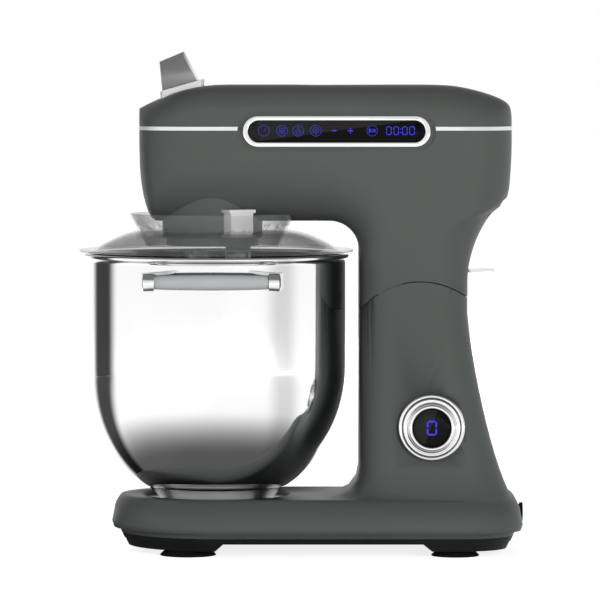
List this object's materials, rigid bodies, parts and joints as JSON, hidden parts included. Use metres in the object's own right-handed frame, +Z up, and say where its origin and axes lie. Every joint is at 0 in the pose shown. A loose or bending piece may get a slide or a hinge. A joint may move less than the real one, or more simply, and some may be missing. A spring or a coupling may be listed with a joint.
{
  "type": "tilt-head stand mixer",
  "caption": "Tilt-head stand mixer with planetary drive, twist-lock steel bowl, clear splash guard, speed knob and display.",
  "frame": {"origin": "on the bowl's axis, at the level of the feet", "axes": "+Z up, -X to the front of the mixer, -Y to the side with the knob and display"},
  "size_m": [0.3915, 0.2664, 0.438],
  "materials": {
    "casing_paint": "satin dark green-grey",
    "tray_plastic": "fine grained",
    "rubber": "matte",
    "chrome_trim": "polished",
    "bowl_steel": "polished",
    "plain_steel": "machined",
    "cast_alloy": "cast",
    "core_iron": "varnished",
    "bush_bronze": "sintered",
    "black_glass": "polished",
    "clear_plastic": "clear",
    "white_plastic": "satin",
    "nylon": "satin",
    "dark_plastic": "satin",
    "circuit_board": "satin",
    "grip_rubber": "soft"
  },
  "bodies": {
    "base": {"base_casing": "casing_paint", "bottom_tray": "tray_plastic", "tray_screws": "plain_steel", "feet": "rubber", "bowl_seat": "plain_steel", "seat_screws": "plain_steel", "knob_bezel": "chrome_trim", "knob_lens": "black_glass", "speed_encoder": "circuit_board", "control_board": "circuit_board", "power_board": "circuit_board", "hinge_pin": "plain_steel", "cord_gland": "rubber"},
    "head": {"head_top_cover": "casing_paint", "head_lower_casing": "casing_paint", "trim_strip": "chrome_trim", "display_bezel": "chrome_trim", "display_glass": "black_glass", "display_board": "circuit_board", "lift_grip": "chrome_trim", "grip_collar": "white_plastic", "chassis_frame": "plain_steel", "hinge_bushes": "bush_bronze", "gearbox_housing": "cast_alloy", "gearbox_cover": "cast_alloy", "gearbox_screws": "plain_steel", "ring_gear": "plain_steel", "shaft_bearings": "plain_steel", "motor_housing": "cast_alloy", "motor_stator": "core_iron", "drive_belt": "rubber", "rear_vent": "tray_plastic", "lever_pin": "plain_steel", "lever_spring": "plain_steel", "splash_guard": "clear_plastic", "guard_clips": "white_plastic"},
    "hub": {"planet_hub": "cast_alloy", "output_shaft": "plain_steel", "main_gear": "nylon"},
    "agitator": {"planet_pinion": "plain_steel", "agitator_shaft": "plain_steel", "drive_pin": "plain_steel", "flat_beater": "cast_alloy"},
    "layshaft": {"countershaft": "plain_steel", "counter_pinion": "plain_steel", "large_pulley": "dark_plastic"},
    "rotor": {"rotor_core": "core_iron", "rotor_shaft": "plain_steel", "motor_pulley": "cast_alloy", "cooling_fan": "dark_plastic"},
    "knob": {"knob_ring": "chrome_trim"},
    "lever": {"release_lever": "chrome_trim"},
    "bolt": {"lock_bolt": "plain_steel"},
    "bowl": {"bowl": "bowl_steel", "bowl_foot": "chrome_trim", "handle_brackets": "chrome_trim", "handle_grip": "grip_rubber"}
  },
  "joints": [
    {"name": "head_tilt", "type": "hinge", "parent": "base", "child": "head", "pos_m": [0.178, 0, 0.171], "axis": [0, 1, 0], "range_deg": [0, 32]},
    {"name": "motor_spin", "type": "hinge", "parent": "head", "child": "rotor", "pos_m": [0.164, 0, 0.3], "axis": [0, 0, 1], "continuous": true},
    {"name": "layshaft_spin", "type": "hinge", "parent": "head", "child": "layshaft", "pos_m": [0.05275, 0, 0.34], "axis": [0, 0, 1], "continuous": true},
    {"name": "hub_spin", "type": "hinge", "parent": "head", "child": "hub", "pos_m": [-0.0035, 0, 0.3], "axis": [0, 0, 1], "continuous": true},
    {"name": "agitator_spin", "type": "hinge", "parent": "hub", "child": "agitator", "pos_m": [0.019, 0, 0.28], "axis": [0, 0, 1], "continuous": true},
    {"name": "knob_turn", "type": "hinge", "parent": "base", "child": "knob", "pos_m": [0.188, -0.055, 0.1113], "axis": [0, -1, 0], "continuous": true},
    {"name": "lever_press", "type": "hinge", "parent": "head", "child": "lever", "pos_m": [0.209, 0, 0.246], "axis": [0, 1, 0], "range_deg": [0, 12], "stiffness_Nm_per_rad": 0.6, "springref_deg": -8.59},
    {"name": "bolt_slide", "type": "slide", "parent": "head", "child": "bolt", "axis": [0.2689, 0, 0.9632], "range_m": [0, 0.003]},
    {"name": "bowl_twist", "type": "hinge", "parent": "base", "child": "bowl", "pos_m": [0, 0, 0.05], "axis": [0, 0, 1], "range_deg": [0, 26]}
  ],
  "couplings": [
    {"joint": "layshaft_spin", "follows": "motor_spin", "ratio": 0.33325},
    {"joint": "hub_spin", "follows": "motor_spin", "ratio": -0.083312},
    {"joint": "agitator_spin", "follows": "motor_spin", "ratio": 0.24994},
    {"joint": "bolt_slide", "follows": "lever_press", "m_per_rad": 0.012}
  ]
}
